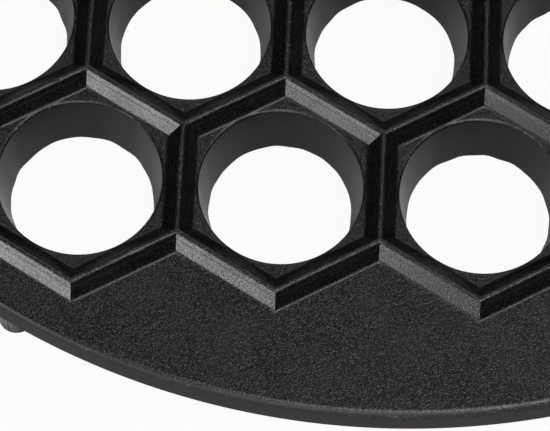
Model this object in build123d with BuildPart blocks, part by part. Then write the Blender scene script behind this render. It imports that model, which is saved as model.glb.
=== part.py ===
from build123d import *
from math import hypot, radians, sqrt, tan
import os

# Dumpling mold: one cast plate with 37 six-sided cells, each with a tapered hole.
# A sheet of dough is laid over the ribs, filling goes into each cell, a second sheet covers it
# and a rolling pin presses the dough through on the crests of the ribs. The dumplings are then
# pushed out through the holes. The plate stands on short feet cast under its rim.

# Field of cells, in millimetres
cell_pitch = 34.0  # centre of one cell to the centre of the next
rings = 3  # rings of cells around the middle cell
mouth_diameter = 27.85  # hole where it meets the floor of its cell
exit_diameter = 24.5  # hole where it leaves the underside
mouth_break = 0.4  # edge taken off the mouth
wall_hollow = 0.03  # how far a hole's wall curves in from a straight taper

# Ribs between the cells: a broad sloping foot that carries a narrow cutting ridge
rib_height = 2.5
rib_width = 4.9
ridge_height = 0.85  # from the shoulder of the rib to its crest
ridge_width = 2.1
crest_width = 0.8

# Plate
rim_margin = 6.5  # outermost corner of the ribs to the outside of the plate
plate_thickness = 6.0  # at the rim, outside the field of cells
rim_round_width = 1.4  # rounded upper edge of the rim, across the plate
rim_round_height = 1.9  # and down its side

# Block under the field of cells, which makes the holes deep enough to shape a dumpling
block_depth = 11.0  # floor of a cell to the underside of the block
block_margin = 0.4  # block beyond the outermost cells, at its underside
block_draft = 6.0  # degrees

# Feet under the rim, one beyond each corner of the field of cells
foot_count = 6
foot_diameter = 6.4
foot_inset = 5.6  # centre of a foot to the outside of the plate
stand_height = 20.0  # table to the floors of the cells

# Levels above the table
floor_level = stand_height
plate_underside = floor_level - plate_thickness
block_underside = floor_level - block_depth

# The cells at the corners of the field reach furthest out, with the two outer corners of their ribs
rib_apothem = cell_pitch / 2 + rib_width / 2
field_radius = hypot(rings * cell_pitch + rib_apothem, rib_apothem / sqrt(3))
plate_radius = field_radius + rim_margin

# Each row of cells is half a pitch to the side of the row before it
row_spacing = cell_pitch * sqrt(3) / 2
cell_centres = [
    ((column - (cells - 1) / 2) * cell_pitch, row * row_spacing)
    for row in range(-rings, rings + 1)
    for cells in [2 * rings + 1 - abs(row)]
    for column in range(cells)
]

# One side of a rib's section, as height above the floor and distance from its middle
rib_section = [
    (0, rib_width / 2),
    (rib_height - ridge_height, ridge_width / 2),
    (rib_height, crest_width / 2),
]

# What one cell adds on top: its hexagon grown by half a rib, narrowing to the crest
with BuildPart() as raised_cell:
    for height, reach in rib_section:
        with BuildSketch(Plane.XY.offset(floor_level + height)):
            RegularPolygon(cell_pitch / 2 + reach, 6, major_radius=False, rotation=30)
    loft(ruled=True)

# What one cell takes away on top: its hexagon less half a rib, widening to the crest
with BuildPart() as pocket:
    for height, reach in rib_section:
        with BuildSketch(Plane.XY.offset(floor_level + height)):
            RegularPolygon(cell_pitch / 2 - reach, 6, major_radius=False, rotation=30)
    loft(ruled=True)

# What one cell adds underneath: a hexagon a little larger than the cell, narrowing downwards
with BuildPart() as block_cell:
    flare = block_depth * tan(radians(block_draft))
    for level, margin in [(block_underside, block_margin), (floor_level, block_margin + flare)]:
        with BuildSketch(Plane.XY.offset(level)):
            RegularPolygon(cell_pitch / 2 + margin, 6, major_radius=False, rotation=30)
    loft(ruled=True)

# The hole through one cell, from its mouth in the floor to the underside of the block
with BuildPart() as hole:
    with BuildSketch(Plane.XZ):
        with BuildLine():
            leaving = (exit_diameter / 2, block_underside)
            mouth = (mouth_diameter / 2, floor_level - mouth_break)
            halfway = (
                (leaving[0] + mouth[0]) / 2 - 2 * wall_hollow,
                (leaving[1] + mouth[1]) / 2,
            )
            Polyline(
                mouth,
                (mouth[0] + mouth_break, floor_level),
                (0, floor_level),
                (0, block_underside),
                leaving,
            )
            Bezier(leaving, halfway, mouth)
        make_face()
    revolve(axis=Axis.Z)

with BuildPart() as dumpling_mold:
    # Round plate with a rounded upper edge
    with BuildSketch(Plane.XZ):
        with BuildLine():
            round_centre = (plate_radius - rim_round_width, floor_level - rim_round_height)
            Polyline(
                (round_centre[0], floor_level),
                (0, floor_level),
                (0, plate_underside),
                (plate_radius, plate_underside),
                (plate_radius, round_centre[1]),
            )
            EllipticalCenterArc(
                round_centre, rim_round_width, rim_round_height, start_angle=0, arc_size=90
            )
        make_face()
    revolve(axis=Axis.Z)

    # Block below and ribs above
    with Locations(*cell_centres):
        add(block_cell.part)
        add(raised_cell.part)
    with Locations(*cell_centres):
        add(pocket.part, mode=Mode.SUBTRACT)

    # Feet
    with PolarLocations(plate_radius - foot_inset, foot_count):
        Cylinder(
            foot_diameter / 2,
            plate_underside,
            align=(Align.CENTER, Align.CENTER, Align.MIN),
        )

    # Holes
    with Locations(*cell_centres):
        add(hole.part, mode=Mode.SUBTRACT)

dumpling_mold.part.label = "dumpling_mold"

os.makedirs("parts", exist_ok=True)
export_step(dumpling_mold.part, "parts/dumpling_mold.step")
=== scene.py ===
"""Dumpling mold, dressed: a round cast plate with a honeycomb of ribs, and a satin black non-stick coating.

All lengths are in metres. The plate's size and levels come from the frame, and what the ribs and
holes measure is named below.
"""

import bmesh
import bpy
import numpy as np
from mathutils import Matrix, Vector


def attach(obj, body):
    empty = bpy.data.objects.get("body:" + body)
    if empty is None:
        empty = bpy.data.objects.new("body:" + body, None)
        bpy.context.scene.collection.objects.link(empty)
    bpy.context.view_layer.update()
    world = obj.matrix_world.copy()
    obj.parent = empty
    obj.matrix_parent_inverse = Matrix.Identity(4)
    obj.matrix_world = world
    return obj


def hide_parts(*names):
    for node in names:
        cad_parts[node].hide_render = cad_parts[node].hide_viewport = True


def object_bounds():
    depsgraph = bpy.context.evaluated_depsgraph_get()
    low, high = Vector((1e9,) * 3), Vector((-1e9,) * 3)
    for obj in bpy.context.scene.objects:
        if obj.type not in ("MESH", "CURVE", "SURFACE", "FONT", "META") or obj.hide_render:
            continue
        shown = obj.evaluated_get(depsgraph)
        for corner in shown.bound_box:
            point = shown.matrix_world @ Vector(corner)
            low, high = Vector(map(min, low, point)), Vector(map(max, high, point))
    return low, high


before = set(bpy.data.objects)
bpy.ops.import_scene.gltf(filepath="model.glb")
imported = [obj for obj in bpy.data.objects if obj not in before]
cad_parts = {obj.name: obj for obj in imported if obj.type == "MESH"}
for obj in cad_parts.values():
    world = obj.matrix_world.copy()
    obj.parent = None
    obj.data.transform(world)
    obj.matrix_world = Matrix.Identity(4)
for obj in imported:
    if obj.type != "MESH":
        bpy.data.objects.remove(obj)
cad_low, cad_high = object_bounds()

MM = 0.001

# Cells
PITCH = 34.0 * MM
RINGS = 3
MOUTH_RADIUS = 13.925 * MM
EXIT_RADIUS = 12.25 * MM
MOUTH_ROUND_WIDTH = 0.55 * MM
MOUTH_ROUND_DEPTH = 0.4 * MM
EXIT_ROUND = 0.25 * MM
EXIT_WAVE = 0.08 * MM  # how far the hand-dressed lower edge of a hole wanders
EXIT_WAVES = (4, 20)  # fewest and most waves of that edge in one turn

# Ribs
RIB_HEIGHT = 2.5 * MM
RIDGE_HEIGHT = 0.85 * MM
RIB_HALF_WIDTH = 2.6 * MM
SHOULDER_HALF_WIDTH = 1.05 * MM
CREST_HALF_WIDTH = 0.34 * MM
CREST_ROUND = 0.28 * MM
FILLET = 0.27 * MM  # each side of the corner between a rib and the floor
RIB_END = 3.3 * MM  # last row of nodes of a rib, out on the floor

# Plate
PLATE_THICKNESS = 6.0 * MM
BLOCK_DEPTH = 11.0 * MM
BLOCK_MARGIN = 0.4 * MM
BLOCK_DRAFT = np.radians(6.0)
RIM_ROUND_WIDTH = 1.4 * MM
RIM_ROUND_HEIGHT = 1.4 * MM
LOWER_ROUND = 0.15 * MM

# Feet
FEET = 6
FOOT_RADIUS = 3.2 * MM
FOOT_INSET = 5.6 * MM
FOOT_ROUND = 0.5 * MM
FOOT_SUNK = 0.5 * MM  # how far a foot's own mesh goes up into the plate before they are joined

# Coating
COATING_COLOUR = (0.0018, 0.0018, 0.0019, 1)
# Light colour of uncoated metal, for worn specks that also serve as painted glints, and for the painted
# glints in the grain
BARE_METAL_AND_GLINT_COLOUR = (0.1, 0.1, 0.1, 1)
COATING_IOR = 1.46

# Roughness of the flat faces, and what is added to it elsewhere
ROUGHNESS = 0.3
ROUGHER_IN_PATCHES = 0.05
ROUGHER_ON_SMOOTH_WALLS = -0.12  # of the holes, the rim and the feet
ROUGHER_ON_SLOPES = -0.08
ROUGHER_ON_RIM = 0.65  # and on the feet, on top of that
RIM_ROUGH_POWER = 3.0  # keeps what is added on the rim to the steep part of its rounding
ROUGHER_AT_SHOULDER = 0.12

# Sprayed grain: bumps, the uneven ground under them, and patches where the coat is duller. Limits are
# the values of a noise from which a mark begins to show and at which it is whole.
GRAIN_SIZE = 0.33 * MM
GRAIN_HEIGHT = 0.037 * MM
GRAIN_LIMITS = (0.46, 0.72)
GRAIN_LOST_ON_SLOPES = 0.65
GROUND_SIZE = 1.6 * MM
GROUND_HEIGHT = 0.25  # as a share of the bumps' height
PATCH_SIZE = 7 * MM
PATCH_LIMITS = (0.35, 0.65)

# Painted glints: light specks of colour in the grain that stand for glints of light on it, and how far
# their colour goes towards that of uncoated metal
PAINTED_GLINT_SIZE = 0.2 * MM
PAINTED_GLINT_LIMITS = (0.62, 0.68)
PAINTED_GLINT_STRENGTH = 0.5

# Wear: marks in clusters on crests and on the mouths' edges, nicked or rubbed down to the metal. The rubbed
# specks are partly real wear and partly painted glints along these edges.
MARK_SIZE = 0.4 * MM
CLUSTER_SIZE = 5 * MM
CLUSTERING = 0.45  # weight of the broad noise that gathers them
MARK_EDGE = 0.05  # rise of the noise from no mark to a whole one
CREST_WEAR = 0.6  # as a share of the wear of a mouth's edge
RIM_WEAR = 0.5  # the same for the rim's upper edge
NICKED_SHARE = 0.22
NICK_HEIGHT = 0.012 * MM
# Share of rubbed specks of metal colour, which also serve as painted glints on crests and edges
BARE_AND_GLINT_SHARE = 0.13

# Streaks along the ribs, and lines of the turned rim
STREAK_LENGTH = 4 * MM
STREAK_WIDTH = 0.2 * MM
STREAK_HEIGHT = 0.006 * MM
LINE_LENGTH = 25 * MM
LINE_SPACING = 0.9 * MM
LINE_HEIGHT = 0.03 * MM

# Distances to the middle of a rib, from where a finish doesn't show to where it shows in full
CREST_FINISH = (0.6 * MM, 0.35 * MM)
SLOPE_FINISH = (2.6 * MM, 2.2 * MM)
RIM_FINISH = (6.8 * MM, 7.5 * MM)

# The same for the thin line at the shoulder, as distances to that line
SHOULDER_LINE = (0.09 * MM, 0.03 * MM)

# Room
LAMPS_FACE = (0, -0.08, 0.02)
LAMP_DISTANCE = 1.2
ROOM_COLOUR = (0.02, 0.02, 0.02, 1)
FLOOR_HALF_WIDTH = 3.0
FLOOR_COLOUR = (0.55, 0.55, 0.55, 1)
WHITE_SHARE = 0.95  # how much of what is seen of the floor is its own white
SHADOW_EDGE = 4.0 * MM  # width over which mirror rays lose that white, just inside the plate's outline

# Camera: its angles in degrees
CAMERA_ELEVATION = 67.417
CAMERA_AZIMUTH = 0.996
CAMERA_ROLL = 1.7626
CAMERA_DISTANCE = 545.54 * MM
CAMERA_FACES = (-17.73 * MM, -93.649 * MM)  # x and y of a point on the level of the cells' floors
CAMERA_LENS = 212.333  # focal length in millimetres
CAMERA_SENSOR = 36.0  # width in millimetres
CAMERA_REACH = (0.01, 20.0)  # nearest and farthest that it sees

# Levels and sizes that the frame gives
PLATE_RADIUS = cad_high.x
CREST_LEVEL = cad_high.z
FLOOR_LEVEL = CREST_LEVEL - RIB_HEIGHT
PLATE_UNDERSIDE = FLOOR_LEVEL - PLATE_THICKNESS
BLOCK_UNDERSIDE = FLOOR_LEVEL - BLOCK_DEPTH

# Mesh
SIDES = 6
STEPS = 14  # quads along one side of a cell
FOOT_STEPS = 64  # quads round a foot
INNER_ROWS = (0.35, 0.7)  # rows up a hole's wall and out over the flange, as shares of the way
UNDERSIDE_ROWS = (0.25, 0.5, 0.75, 1.0)  # from the rim in to the block
MOUTH_SMOOTH_POWER = 4  # ends the reamed finish low on a mouth's rounding
FOOT_CENTRE = 0.02 * MM  # radius of the small cap that closes each end of a foot
FAR_FROM_RIB = 9.0 * MM  # the distance that stands for all larger ones
ROW_GAP = 0.01 * MM  # least distance between two rows of nodes
SAME_PLACE = 1e-7  # nodes nearer than this are one
SHORTEST_EDGE = 0.001 * MM
SHARP_ANGLE = 32  # degrees between two faces from which their edge is sharp
random = np.random.default_rng(37)

# Rows of nodes on each rounding, as angles of its quarter turn
EXIT_TURNS = np.array([0, 0.35, 0.7, 1]) * np.pi / 2
MOUTH_TURNS = np.array([0, 0.15, 0.35, 0.65, 1]) * np.pi / 2
RIM_TURNS = np.linspace(0, np.pi / 2, 10)
LOWER_TURNS = np.linspace(0, np.pi / 2, 4)
FOOT_TURNS = np.linspace(0, np.pi / 2, 5)


class Surface:
    """Nodes and quads worked out as whole arrays, with what the coating needs to know at each node.

    rib: distance to the middle of the nearest rib. smooth: 1 where the casting was turned or reamed.
    edge: 1 along a worn edge. line: 1 where a sharp line runs through the node.
    across: for each corner of each quad, its place along and across the rib that it belongs to.
    caps: faces with more than four corners, each as a list of nodes.
    """

    def __init__(self, points, faces, rib, smooth, edge, line, across, caps=()):
        self.points, self.faces, self.caps = points, faces, caps
        self.nodes = {"rib": rib, "smooth": smooth, "edge": edge, "line": line}
        self.across = across


def rib_height_at(distance):
    """Height of a rib above the floor, from the distance to the rib's middle.

    Two straight slopes run from the crest over the shoulder to the floor. The corner at the floor is
    rounded by a parabola, and so is the crest.
    """
    corners = [0, CREST_HALF_WIDTH, SHOULDER_HALF_WIDTH, RIB_HALF_WIDTH]
    heights = [RIB_HEIGHT, RIB_HEIGHT, RIB_HEIGHT - RIDGE_HEIGHT, 0]
    height = np.interp(distance, corners, heights)
    slope = (RIB_HEIGHT - RIDGE_HEIGHT) / (RIB_HALF_WIDTH - SHOULDER_HALF_WIDTH)
    inside = np.clip(1 - np.abs(distance - RIB_HALF_WIDTH) / FILLET, 0, 1)
    height = height + slope * FILLET / 4 * inside**2
    ridge_slope = RIDGE_HEIGHT / (SHOULDER_HALF_WIDTH - CREST_HALF_WIDTH)
    inside = np.clip(1 - np.abs(distance - CREST_HALF_WIDTH) / CREST_ROUND, 0, 1)
    return height - ridge_slope * CREST_ROUND / 4 * inside**2


def rib_rows():
    """Distances from a rib's middle at which the mesh has a row of nodes, from the crest outwards.

    With each goes 1 where the ribs have a sharp line, at the shoulder, or 0.
    """
    spread = np.array([-1, -0.5, 0, 0.5, 1])
    crest = np.concatenate([[0], CREST_HALF_WIDTH + spread * CREST_ROUND])
    fillet = RIB_HALF_WIDTH + spread * FILLET
    distances = np.concatenate([crest, [SHOULDER_HALF_WIDTH], fillet, [RIB_END]])
    return distances, (distances == SHOULDER_HALF_WIDTH).astype(int)


def cell_centres():
    """Centres of the cells, row by row, each row half a pitch to the side of the row before it."""
    spacing = PITCH * np.sqrt(3) / 2
    centres = []
    for row in range(-RINGS, RINGS + 1):
        count = 2 * RINGS + 1 - abs(row)
        columns = np.arange(count) - (count - 1) / 2
        centres.append(np.stack([columns * PITCH, np.full(count, row * spacing)], axis=1))
    return np.concatenate(centres)


def flat_normals():
    """Directions of a cell's six flats, the first one along X."""
    turn = np.arange(SIDES) * np.pi / 3
    return np.stack([np.cos(turn), np.sin(turn)], axis=1)


def round_waves(count, angles, lowest, highest):
    """One closed wavy line per cell: a sum of cosines round the hole, with random sizes and phases."""
    orders = np.arange(lowest, highest + 1)
    sizes = random.normal(size=(count, orders.size)) / np.sqrt(orders.size)
    phases = random.uniform(0, 2 * np.pi, (count, orders.size))
    turns = orders[None, :, None] * angles[None, None, :] + phases[:, :, None]
    return (sizes[:, :, None] * np.cos(turns)).sum(axis=1)


def grid_faces(rows, around, first=0):
    """Quads of a grid of rows that close round, as indices of nodes that lie row after row."""
    index = first + np.arange(rows * around).reshape(rows, around)
    beside = np.roll(index, -1, axis=1)
    return np.stack([index[:-1], index[1:], beside[1:], beside[:-1]], axis=-1).reshape(-1, 4)


def along_and_across(points, faces, flats):
    """Place of each corner of each quad along its rib and across it, from the flat that it belongs to.

    Ribs on opposite flats of a cell run the same way, so they share one pair of directions. Each of
    the three ways is moved one metre further across, to keep their patterns apart.
    """
    way = flats % (SIDES // 2)
    turn = way * np.pi / 3
    x, y = points[faces][..., 0], points[faces][..., 1]
    cosine, sine = np.cos(turn)[:, None], np.sin(turn)[:, None]
    return np.stack([y * cosine - x * sine, x * cosine + y * sine + way[:, None]], axis=-1)


def cell_surfaces():
    """Every cell as one grid: rows of nodes from the underside, up the hole and out to the crest.

    A node's place is its angle round the hole and its radius. The radius is a circle's in the hole and
    a hexagon's, apothem over the cosine of the angle to the nearest flat, on the ribs. In between, it
    is the larger of the two.
    """
    around = SIDES * STEPS
    angles = np.radians(-30) + np.arange(around) * 2 * np.pi / around
    to_flat = (angles + np.pi / 6) % (np.pi / 3) - np.pi / 6
    stretch = 1 / np.cos(to_flat)
    centres = cell_centres()
    wave = round_waves(len(centres), angles, *EXIT_WAVES) * EXIT_WAVE

    rows = []  # radius, level, share of the wave, smooth, edge, line

    def add_row(radius, level, waviness=0.0, smooth=0.0, edge=0.0, line=0):
        rows.append([np.broadcast_to(v, around) for v in (radius, level, waviness, smooth, edge, line)])

    # Underside and the hole's rounded exit
    add_row(PITCH / 2 * stretch, BLOCK_UNDERSIDE)
    for turn in EXIT_TURNS:
        radius = EXIT_RADIUS + EXIT_ROUND * (1 - np.sin(turn))
        add_row(radius, BLOCK_UNDERSIDE + EXIT_ROUND * (1 - np.cos(turn)), waviness=1, smooth=1)

    # Wall of the hole and its rounded mouth
    depth = FLOOR_LEVEL - BLOCK_UNDERSIDE
    for share in INNER_ROWS:
        radius = EXIT_RADIUS + share * (MOUTH_RADIUS - EXIT_RADIUS)
        add_row(radius, BLOCK_UNDERSIDE + share * depth, waviness=1 - share, smooth=1)
    for turn in MOUTH_TURNS:
        radius = MOUTH_RADIUS + MOUTH_ROUND_WIDTH * (1 - np.cos(turn))
        beside = rib_height_at(PITCH / 2 - radius / stretch)
        level = FLOOR_LEVEL - MOUTH_ROUND_DEPTH * (1 - np.sin(turn)) + beside
        add_row(radius, level, smooth=np.cos(turn) ** MOUTH_SMOOTH_POWER, edge=np.sin(2 * turn))

    # Floor, and the half of each rib that is this cell's. Where a rib comes near the mouth, its rows
    # stay outside the mouth's edge.
    mouth_edge = MOUTH_RADIUS + MOUTH_ROUND_WIDTH
    distances, lines = rib_rows()
    for step, (distance, line) in enumerate(zip(distances[::-1], lines[::-1])):
        radius = np.maximum((PITCH / 2 - distance) * stretch, mouth_edge + ROW_GAP * (step + 1))
        add_row(radius, FLOOR_LEVEL + rib_height_at(PITCH / 2 - radius / stretch), line=line)

    radii, levels, waviness, smooth, edge, line = np.array(rows).transpose(1, 0, 2)
    cells = len(centres)
    waved = radii[None] + wave[:, None, :] * waviness[None]
    x = centres[:, 0, None, None] + waved * np.cos(angles)
    y = centres[:, 1, None, None] + waved * np.sin(angles)
    points = np.stack([x, y, np.broadcast_to(levels, x.shape)], axis=-1).reshape(-1, 3)
    per_cell = len(rows) * around
    faces = np.concatenate([grid_faces(len(rows), around, first=k * per_cell) for k in range(cells)])
    flats = np.tile(np.arange(around) // STEPS, cells * (len(rows) - 1))
    rib = np.minimum(PITCH / 2 - radii / stretch, FAR_FROM_RIB)
    nodes = [np.tile(values.ravel(), cells) for values in (rib, smooth, edge, line)]
    return Surface(points, faces, *nodes, along_and_across(points, faces, flats))


def field_outline():
    """Corners of the zigzag line round the cells, and at each the way it moves when its sides move out.

    The third result is the flat of its cell that each side of the line is.
    """
    centres = cell_centres()
    normals = flat_normals()
    sides = []
    for centre in centres:
        for flat, normal in enumerate(normals):
            beyond = centre + PITCH * normal
            if np.linalg.norm(centres - beyond, axis=1).min() > PITCH / 2:
                sides.append((centre, flat))
    sides.sort(key=lambda side: np.arctan2(*(side[0] + normals[side[1]] * PITCH / 2)[::-1]))
    flats = np.array([flat for _, flat in sides])
    turn = np.radians(60 * flats - 30)
    spoke = PITCH / np.sqrt(3) * np.stack([np.cos(turn), np.sin(turn)], axis=1)
    corners = np.array([centre for centre, _ in sides]) + spoke
    outward = normals[flats]
    before = np.roll(outward, 1, axis=0)
    mitre = (outward + before) / (1 + (outward * before).sum(axis=1, keepdims=True))
    return corners, mitre, flats


def outline_row(distance):
    """Nodes along the zigzag line moved out by a distance, spaced as the cells' nodes are."""
    corners, mitre, _ = field_outline()
    moved = corners + distance * mitre
    following = np.roll(moved, -1, axis=0)
    to_flat = np.radians(-30 + 60 * np.arange(STEPS) / STEPS)
    share = ((np.tan(to_flat) / np.tan(np.pi / 6) + 1) / 2)[None, :, None]
    return (moved[:, None] * (1 - share) + following[:, None] * share).reshape(-1, 2)


def plate_surface():
    """What lies round the cells, as one grid: rib, flange, rim, underside and the side of the block."""
    rows = []  # place, level, distance to the rib, smooth, edge, line

    def add_row(place, level, rib=FAR_FROM_RIB, smooth=0.0, edge=0.0, line=0):
        rows.append([place] + [np.full(len(place), v, float) for v in (level, rib, smooth, edge, line)])

    # Outer half of the ribs, and the flange
    for distance, line in zip(*rib_rows()):
        add_row(outline_row(distance), FLOOR_LEVEL + rib_height_at(distance), rib=distance, line=line)
    base = rows[-1][0]
    direction = base / np.linalg.norm(base, axis=1, keepdims=True)
    rim = direction * (PLATE_RADIUS - RIM_ROUND_WIDTH)
    for share in INNER_ROWS:
        add_row(base * (1 - share) + rim * share, FLOOR_LEVEL)

    # Rim, with its rounded upper and lower edges
    for turn in RIM_TURNS:
        radius = PLATE_RADIUS - RIM_ROUND_WIDTH * (1 - np.sin(turn))
        level = FLOOR_LEVEL - RIM_ROUND_HEIGHT * (1 - np.cos(turn))
        add_row(direction * radius, level, smooth=np.sin(turn), edge=RIM_WEAR * np.sin(2 * turn))
    for turn in LOWER_TURNS:
        radius = PLATE_RADIUS - LOWER_ROUND * (1 - np.cos(turn))
        level = PLATE_UNDERSIDE + LOWER_ROUND * (1 - np.sin(turn))
        add_row(direction * radius, level, smooth=np.cos(turn))

    # Underside of the plate, and the side of the block
    edge = rows[-1][0]
    flare = BLOCK_MARGIN + np.tan(BLOCK_DRAFT) * (PLATE_UNDERSIDE - BLOCK_UNDERSIDE)
    block = outline_row(flare)
    for share in UNDERSIDE_ROWS:
        add_row(edge * (1 - share) + block * share, PLATE_UNDERSIDE)
    add_row(outline_row(BLOCK_MARGIN), BLOCK_UNDERSIDE)
    add_row(outline_row(0), BLOCK_UNDERSIDE)

    points = np.concatenate([np.column_stack([place, level]) for place, level, *_ in rows])
    faces = grid_faces(len(rows), len(base))
    flats = np.tile(np.repeat(field_outline()[2], STEPS), len(rows) - 1)
    nodes = [np.concatenate([row[k] for row in rows]) for k in (2, 3, 4, 5)]
    return Surface(points, faces, *nodes, along_and_across(points, faces, flats))


def feet_surface():
    """Six round feet, each a turned profile: a rounded lower edge and a wall up into the plate."""
    around = FOOT_STEPS
    angles = np.arange(around) * 2 * np.pi / around
    sunk = PLATE_UNDERSIDE + FOOT_SUNK
    edge = FOOT_RADIUS - FOOT_ROUND * (1 - np.sin(FOOT_TURNS))
    rise = FOOT_ROUND * (1 - np.cos(FOOT_TURNS))
    radii = np.concatenate([[FOOT_CENTRE], edge, [FOOT_RADIUS, FOOT_RADIUS, FOOT_CENTRE]])
    levels = np.concatenate([[0], rise, [PLATE_UNDERSIDE / 2, sunk, sunk]])
    circle = radii[:, None, None] * np.stack([np.cos(angles), np.sin(angles)], axis=-1)
    heights = np.broadcast_to(levels[:, None, None], (*circle.shape[:2], 1))
    profile = np.concatenate([circle, heights], axis=-1)
    turned = np.arange(FEET) * 2 * np.pi / FEET
    centres = np.stack([np.cos(turned), np.sin(turned), turned * 0], axis=1) * (PLATE_RADIUS - FOOT_INSET)
    points = (profile[None] + centres[:, None, None]).reshape(-1, 3)
    per_foot = len(radii) * around
    ends = np.array([[0] * around, [len(radii) - 1] * around]) * around + np.arange(around)
    faces = []
    for foot in range(FEET):
        faces.append(grid_faces(len(radii), around, first=foot * per_foot)[:, ::-1])
    faces = np.concatenate(faces)
    smooth = np.ones(len(points))
    zero = np.zeros(len(points))
    across = np.zeros((*faces.shape, 2))
    caps = [list(foot * per_foot + end) for foot in range(FEET) for end in (ends[0][::-1], ends[1])]
    return Surface(points, faces, zero + FAR_FROM_RIB, smooth, zero, zero, across, caps)


def build_mesh(name, surfaces):
    """One mesh from surfaces, with the nodes that coincide made one."""
    points = np.concatenate([surface.points for surface in surfaces])
    first = np.cumsum([0] + [len(surface.points) for surface in surfaces])
    faces = np.concatenate([surface.faces + start for surface, start in zip(surfaces, first)])
    rounded = np.round(points / SAME_PLACE)
    _, kept, same = np.unique(rounded, axis=0, return_index=True, return_inverse=True)
    same = same.reshape(-1)
    caps = [same[np.array(cap) + start].tolist()
            for surface, start in zip(surfaces, first) for cap in surface.caps]
    mesh = bpy.data.meshes.new(name)
    mesh.from_pydata(points[kept].tolist(), [], same[faces].tolist() + caps)
    for key in ("rib", "smooth", "edge", "line"):
        values = np.concatenate([surface.nodes[key] for surface in surfaces])[kept]
        mesh.attributes.new(key, "FLOAT", "POINT").data.foreach_set("value", values.astype(np.float32))
    across = np.concatenate([surface.across.reshape(-1, 2) for surface in surfaces])
    across = np.concatenate([across, np.zeros((len(mesh.loops) - len(across), 2))])
    mesh.uv_layers.new(name="across").data.foreach_set("uv", across.ravel().astype(np.float32))
    return mesh


def link(name, data):
    """A new object in the scene."""
    item = bpy.data.objects.new(name, data)
    bpy.context.scene.collection.objects.link(item)
    return item


def build_mold():
    """The casting: cells and plate as one closed surface, with the feet joined on below."""
    body = link("cast_body", build_mesh("cast_body", [cell_surfaces(), plate_surface()]))
    feet = link("cast_feet", build_mesh("cast_feet", [feet_surface()]))
    union = body.modifiers.new("feet_joined_on", "BOOLEAN")
    union.operation, union.solver, union.object = "UNION", "EXACT", feet
    graph = bpy.context.evaluated_depsgraph_get()
    mesh = bpy.data.meshes.new_from_object(body.evaluated_get(graph))
    mesh.name = "dumpling_mold_cast"
    for item in (body, feet):
        bpy.data.objects.remove(item)
    clean = bmesh.new()
    clean.from_mesh(mesh)
    bmesh.ops.dissolve_degenerate(clean, dist=SHORTEST_EDGE, edges=clean.edges)
    clean.to_mesh(mesh)
    clean.free()

    mesh.shade_smooth()
    mesh.set_sharp_from_angle(angle=np.radians(SHARP_ANGLE))
    line = np.empty(len(mesh.vertices), np.float32)
    mesh.attributes["line"].data.foreach_get("value", line)
    ends = np.empty(2 * len(mesh.edges), np.int32)
    mesh.edges.foreach_get("vertices", ends)
    first, second = line[ends].reshape(-1, 2).T
    sharp = np.empty(len(mesh.edges), bool)
    mesh.edges.foreach_get("use_edge_sharp", sharp)
    mesh.edges.foreach_set("use_edge_sharp", sharp | ((first > 0.5) & (second > 0.5)))

    piece = link("dumpling_mold_cast", mesh)
    flat = piece.modifiers.new("flat_faces_stay_flat", "WEIGHTED_NORMAL")
    flat.keep_sharp = True
    return piece


def node_group(name, inputs, outputs):
    """An empty shader node group, with inputs from (name, kind, value) and outputs from (name, kind)."""
    group = bpy.data.node_groups.new(name, "ShaderNodeTree")
    for label, kind, value in inputs:
        socket = group.interface.new_socket(label, in_out="INPUT", socket_type=kind)
        if value is not None:
            socket.default_value = value
    for label, kind in outputs:
        group.interface.new_socket(label, in_out="OUTPUT", socket_type=kind)
    return group, group.nodes.new("NodeGroupInput").outputs, group.nodes.new("NodeGroupOutput").inputs


def math(tree, operation, *values, clamp=False):
    """A Math node. Each value is a number or the socket that feeds it."""
    node = tree.nodes.new("ShaderNodeMath")
    node.operation, node.use_clamp = operation, clamp
    for socket, value in zip(node.inputs, values):
        if isinstance(value, (int, float)):
            socket.default_value = value
        else:
            tree.links.new(value, socket)
    return node.outputs[0]


def ramp(tree, value, low, high, start=0.0, end=1.0):
    """A smooth rise from start to end while the value goes from low to high."""
    node = tree.nodes.new("ShaderNodeMapRange")
    node.interpolation_type = "SMOOTHSTEP"
    tree.links.new(value, node.inputs["Value"])
    for label, number in (("From Min", low), ("From Max", high), ("To Min", start), ("To Max", end)):
        node.inputs[label].default_value = number
    return node.outputs["Result"]


def noise(tree, place, scale, detail=2.0, roughness=0.5):
    """Soft noise about one over the scale across."""
    node = tree.nodes.new("ShaderNodeTexNoise")
    node.inputs["Scale"].default_value = scale
    node.inputs["Detail"].default_value = detail
    node.inputs["Roughness"].default_value = roughness
    tree.links.new(place, node.inputs["Vector"])
    return node.outputs["Fac"]


def stretched(tree, place, factors):
    """The place with each of its axes multiplied by a factor."""
    node = tree.nodes.new("ShaderNodeVectorMath")
    node.operation = "MULTIPLY"
    tree.links.new(place, node.inputs[0])
    node.inputs[1].default_value = factors
    return node.outputs[0]


def grain_group():
    """Sprayed grain: separate bumps on ground that is a little uneven, with painted glints: light specks of
    colour that stand for glints of light on the grain.

    Patches, some millimetres wide, tell where the coat is duller.
    """
    group, given, result = node_group(
        "sprayed_grain",
        [("Place", "NodeSocketVector", None)],
        [("Height", "NodeSocketFloat"), ("Patches", "NodeSocketFloat"), ("Painted_glints", "NodeSocketFloat")],
    )
    bumps = noise(group, given["Place"], 1 / GRAIN_SIZE, detail=1.5)
    bumps = ramp(group, bumps, *GRAIN_LIMITS)
    ground = noise(group, given["Place"], 1 / GROUND_SIZE, detail=1.0)
    patches = noise(group, given["Place"], 1 / PATCH_SIZE)
    # Painted glints: specks of colour that stand for glints of light
    painted_glints = noise(group, given["Place"], 1 / PAINTED_GLINT_SIZE, detail=0.5)
    group.links.new(math(group, "MULTIPLY_ADD", ground, GROUND_HEIGHT, bumps), result["Height"])
    group.links.new(ramp(group, patches, *PATCH_LIMITS), result["Patches"])
    group.links.new(ramp(group, painted_glints, *PAINTED_GLINT_LIMITS), result["Painted_glints"])
    return group


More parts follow.
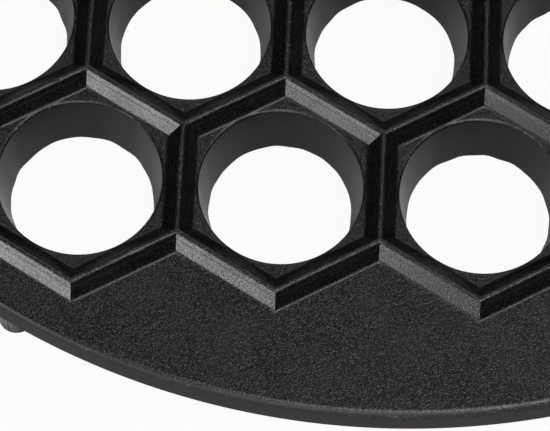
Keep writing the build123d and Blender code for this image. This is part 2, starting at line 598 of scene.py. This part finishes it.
def speckle_group():
    """Specks and nicks: where fine noise rises over a limit, more often where broad noise is high."""
    group, given, result = node_group(
        "specks_and_nicks",
        [("Place", "NodeSocketVector", None), ("Share", "NodeSocketFloat", 0.1)],
        [("Specks", "NodeSocketFloat")],
    )
    fine = noise(group, given["Place"], 1 / MARK_SIZE, detail=1.5, roughness=0.6)
    broad = noise(group, given["Place"], 1 / CLUSTER_SIZE, detail=1.0)
    raised = math(group, "ADD", fine, math(group, "MULTIPLY", broad, CLUSTERING))
    limit = math(group, "SUBTRACT", 1.0, given["Share"])
    over = math(group, "SUBTRACT", raised, limit)
    group.links.new(ramp(group, over, 0.0, MARK_EDGE), result["Specks"])
    return group


def streaks_group():
    """Streaks along a rib, left by dressing the mold: noise drawn out in the rib's direction."""
    group, given, result = node_group(
        "streaks_along_ribs", [("Across", "NodeSocketVector", None)], [("Height", "NodeSocketFloat")]
    )
    drawn = stretched(group, given["Across"], (1 / STREAK_LENGTH, 1 / STREAK_WIDTH, 0))
    group.links.new(noise(group, drawn, 1.0, detail=2.0, roughness=0.6), result["Height"])
    return group


def turned_group():
    """Lines of a turned wall: noise that changes fast with height and slowly round the wall."""
    group, given, result = node_group(
        "turning_lines", [("Place", "NodeSocketVector", None)], [("Height", "NodeSocketFloat")]
    )
    drawn = stretched(group, given["Place"], (1 / LINE_LENGTH, 1 / LINE_LENGTH, 1 / LINE_SPACING))
    group.links.new(noise(group, drawn, 1.0, detail=2.5, roughness=0.7), result["Height"])
    return group


def placed(tree, group, **feeds):
    """A group in a material, with its inputs linked or set."""
    node = tree.nodes.new("ShaderNodeGroup")
    node.node_tree = group
    for label, value in feeds.items():
        if isinstance(value, (int, float)):
            node.inputs[label].default_value = value
        else:
            tree.links.new(value, node.inputs[label])
    return node.outputs


def named_value(tree, name):
    """A value that the mesh holds at its nodes."""
    node = tree.nodes.new("ShaderNodeAttribute")
    node.attribute_name = name
    return node.outputs["Fac"]


def coating():
    """Black non-stick coating on cast aluminium: grainy on the flat faces, smooth where it was turned."""
    material = bpy.data.materials.new("satin_black_coating")
    material.use_nodes = True
    tree = material.node_tree
    shader = tree.nodes["Principled BSDF"]
    shader.inputs["IOR"].default_value = COATING_IOR
    place = tree.nodes.new("ShaderNodeTexCoord").outputs["Object"]
    across = tree.nodes.new("ShaderNodeUVMap")
    across.uv_map = "across"
    rib, smooth, edge = (named_value(tree, name) for name in ("rib", "smooth", "edge"))

    specks = speckle_group()
    grain = placed(tree, grain_group(), Place=place)
    streaks = placed(tree, streaks_group(), Across=across.outputs["UV"])
    lines = placed(tree, turned_group(), Place=place)
    crest = ramp(tree, rib, *CREST_FINISH)
    on_rib = ramp(tree, rib, *SLOPE_FINISH)
    worn = math(tree, "MAXIMUM", math(tree, "MULTIPLY", crest, CREST_WEAR), edge)
    turned = math(tree, "MULTIPLY", smooth, ramp(tree, rib, *RIM_FINISH))
    on_slope = math(tree, "MULTIPLY", on_rib, math(tree, "SUBTRACT", 1.0, crest))
    rough = math(tree, "SUBTRACT", 1.0, smooth, clamp=True)
    rough = math(tree, "MULTIPLY", rough, math(tree, "MULTIPLY_ADD", on_slope, -GRAIN_LOST_ON_SLOPES, 1.0))

    # Relief
    height = math(tree, "MULTIPLY", grain["Height"], math(tree, "MULTIPLY", rough, GRAIN_HEIGHT))
    streaked = math(tree, "MULTIPLY", on_rib, STREAK_HEIGHT)
    height = math(tree, "MULTIPLY_ADD", streaks["Height"], streaked, height)
    lined = math(tree, "MULTIPLY", turned, LINE_HEIGHT)
    height = math(tree, "MULTIPLY_ADD", lines["Height"], lined, height)
    nicks = placed(tree, specks, Place=place, Share=NICKED_SHARE)["Specks"]
    nicked = math(tree, "MULTIPLY", worn, NICK_HEIGHT)
    height = math(tree, "MULTIPLY_ADD", nicks, nicked, height)
    bump = tree.nodes.new("ShaderNodeBump")
    bump.inputs["Strength"].default_value = 1.0
    bump.inputs["Distance"].default_value = 1.0
    tree.links.new(height, bump.inputs["Height"])
    tree.links.new(bump.outputs["Normal"], shader.inputs["Normal"])

    # Colour: specks rubbed to the metal, partly real wear and partly painted glints, and painted glints in
    # the grain
    bare_and_glints = math(tree, "MULTIPLY", placed(tree, specks, Place=place, Share=BARE_AND_GLINT_SHARE)["Specks"], worn)
    # Painted glints in the grain, in colour towards the metal's
    painted_glints = math(tree, "MULTIPLY", grain["Painted_glints"], math(tree, "MULTIPLY", rough, PAINTED_GLINT_STRENGTH))
    colour = tree.nodes.new("ShaderNodeMix")
    colour.data_type = "RGBA"
    colour.inputs["A"].default_value = COATING_COLOUR
    colour.inputs["B"].default_value = BARE_METAL_AND_GLINT_COLOUR
    tree.links.new(math(tree, "MAXIMUM", bare_and_glints, painted_glints), colour.inputs["Factor"])
    tree.links.new(colour.outputs["Result"], shader.inputs["Base Color"])

    # Roughness
    satin = math(tree, "MULTIPLY_ADD", grain["Patches"], ROUGHER_IN_PATCHES, ROUGHNESS)
    satin = math(tree, "MULTIPLY_ADD", smooth, ROUGHER_ON_SMOOTH_WALLS, satin)
    satin = math(tree, "MULTIPLY_ADD", on_slope, ROUGHER_ON_SLOPES, satin)
    satin = math(tree, "MULTIPLY_ADD", math(tree, "POWER", turned, RIM_ROUGH_POWER), ROUGHER_ON_RIM, satin)
    off_line = math(tree, "ABSOLUTE", math(tree, "SUBTRACT", rib, SHOULDER_HALF_WIDTH))
    dull = ramp(tree, off_line, *SHOULDER_LINE, end=ROUGHER_AT_SHOULDER)
    tree.links.new(math(tree, "ADD", satin, dull), shader.inputs["Roughness"])
    return material


def floor_material():
    """Pale floor. To the camera, to mirror rays and through glass it is mostly its own white.

    The rest is the lit floor, which takes the shadow. Under the plate, mirror rays see only the lit
    floor, so the coating shows the plate's own shadow there.
    """
    material = bpy.data.materials.new("pale_floor")
    material.use_nodes = True
    tree = material.node_tree
    tree.nodes.remove(tree.nodes["Principled BSDF"])
    surface = tree.nodes.new("ShaderNodeBsdfDiffuse")
    surface.inputs["Color"].default_value = FLOOR_COLOUR
    white = tree.nodes.new("ShaderNodeEmission")
    mix = tree.nodes.new("ShaderNodeMixShader")
    path = tree.nodes.new("ShaderNodeLightPath").outputs
    distance = tree.nodes.new("ShaderNodeVectorMath")
    distance.operation = "LENGTH"
    tree.links.new(tree.nodes.new("ShaderNodeTexCoord").outputs["Object"], distance.inputs[0])
    beyond = ramp(tree, distance.outputs["Value"], PLATE_RADIUS - SHADOW_EDGE, PLATE_RADIUS)
    seen = math(tree, "MAXIMUM", path["Is Glossy Ray"], path["Is Transmission Ray"])
    seen = math(tree, "MAXIMUM", math(tree, "MULTIPLY", seen, beyond), path["Is Camera Ray"])
    tree.links.new(math(tree, "MULTIPLY", seen, WHITE_SHARE), mix.inputs["Fac"])
    tree.links.new(surface.outputs[0], mix.inputs[1])
    tree.links.new(white.outputs[0], mix.inputs[2])
    tree.links.new(mix.outputs[0], tree.nodes["Material Output"].inputs["Surface"])
    return material


def build_floor():
    """A square of floor at the level that the feet stand on."""
    half = FLOOR_HALF_WIDTH
    mesh = bpy.data.meshes.new("floor")
    corners = [(-half, -half, 0), (half, -half, 0), (half, half, 0), (-half, half, 0)]
    mesh.from_pydata(corners, [], [(0, 1, 2, 3)])
    mesh.materials.append(floor_material())
    link("floor", mesh)


def soft_box(name, azimuth, elevation, width, height, radiance):
    """A flat lamp that faces the plate from some way off.

    Its place, width and height are angles in degrees, as seen from the plate. Azimuth goes from +X to
    +Y. The lamp's power is its brightness times pi and its area.
    """
    turn, rise = np.radians([azimuth, elevation])
    way = Vector((np.cos(rise) * np.cos(turn), np.cos(rise) * np.sin(turn), np.sin(rise)))
    lamp = bpy.data.lights.new(name, "AREA")
    lamp.shape = "RECTANGLE"
    lamp.size, lamp.size_y = 2 * LAMP_DISTANCE * np.tan(np.radians([width / 2, height / 2]))
    lamp.energy = radiance * np.pi * lamp.size * lamp.size_y
    light = link(name, lamp)
    light.location = Vector(LAMPS_FACE) + LAMP_DISTANCE * way
    light.rotation_euler = way.to_track_quat("Z", "Y").to_euler()


def build_lights():
    """A low light on the ribs' left faces, broad ones in front, above and behind, and a dim room."""
    soft_box("low_left_box", azimuth=-141, elevation=12, width=22, height=17, radiance=11.2)
    soft_box("front_box", azimuth=-96, elevation=32, width=30, height=34, radiance=3.7)
    soft_box("ceiling_box", azimuth=-50, elevation=70, width=34, height=34, radiance=6.1)
    soft_box("back_box", azimuth=88, elevation=42, width=62, height=26, radiance=1.35)
    world = bpy.data.worlds.new("room")
    world.use_nodes = True
    world.node_tree.nodes["Background"].inputs["Color"].default_value = ROOM_COLOUR
    bpy.context.scene.world = world


def build_camera():
    """Looks down on the near edge of the plate, turned a little about its own axis."""
    elevation, azimuth, roll = np.radians([CAMERA_ELEVATION, CAMERA_AZIMUTH, CAMERA_ROLL])
    target = Vector((*CAMERA_FACES, FLOOR_LEVEL))
    back = Vector(
        (np.sin(azimuth) * np.cos(elevation), -np.cos(azimuth) * np.cos(elevation), np.sin(elevation))
    )
    camera = bpy.data.cameras.new("camera")
    camera.lens, camera.sensor_width, camera.sensor_fit = CAMERA_LENS, CAMERA_SENSOR, "HORIZONTAL"
    camera.clip_start, camera.clip_end = CAMERA_REACH
    holder = link("camera", camera)
    turned = (-back).to_track_quat("-Z", "Y").to_matrix() @ Matrix.Rotation(roll, 3, "Z")
    holder.matrix_world = Matrix.Translation(target + CAMERA_DISTANCE * back) @ turned.to_4x4()
    bpy.context.scene.camera = holder


mold = build_mold()
mold.data.materials.clear()
mold.data.materials.append(coating())
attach(mold, "root")
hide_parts("dumpling_mold")
build_floor()
build_lights()
build_camera()
bpy.context.scene.view_settings.view_transform = "Standard"
